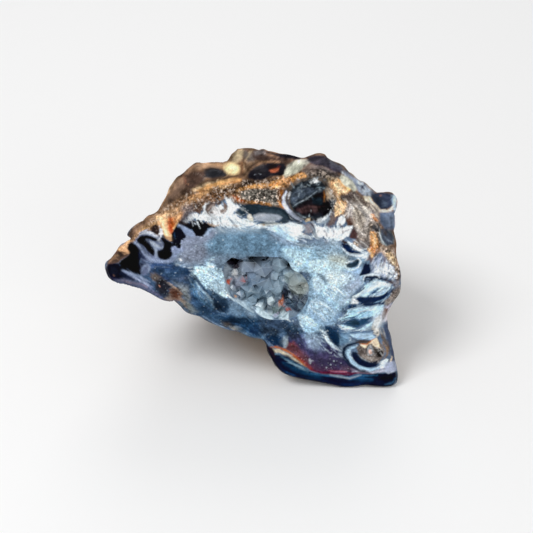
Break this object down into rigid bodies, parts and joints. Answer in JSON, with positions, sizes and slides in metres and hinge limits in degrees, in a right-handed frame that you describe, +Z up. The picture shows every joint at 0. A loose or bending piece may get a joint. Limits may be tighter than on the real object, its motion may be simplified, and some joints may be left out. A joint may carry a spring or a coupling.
{
  "type": "geode half",
  "caption": "Half of a small agate nodule: flat polished face with banded and feathered chalcedony, a crystal-lined pocket and a lumpy pitted rind.",
  "frame": {"origin": "centre of the stone's extents in plan, at the surface it rests on", "axes": "+X along the long way of the cut face, to the right as the face is seen; the face looks towards -Y and leans back ten degrees; +Y into the stone; +Z up"},
  "size_m": [0.049, 0.031, 0.0399],
  "materials": {
    "agate": "polished on the cut face, rough on the rind",
    "quartz": "clear to milky, flat shining crystal faces"
  },
  "bodies": {
    "root": {"agate_half": "agate", "quartz_druse": "quartz"}
  },
  "joints": []
}
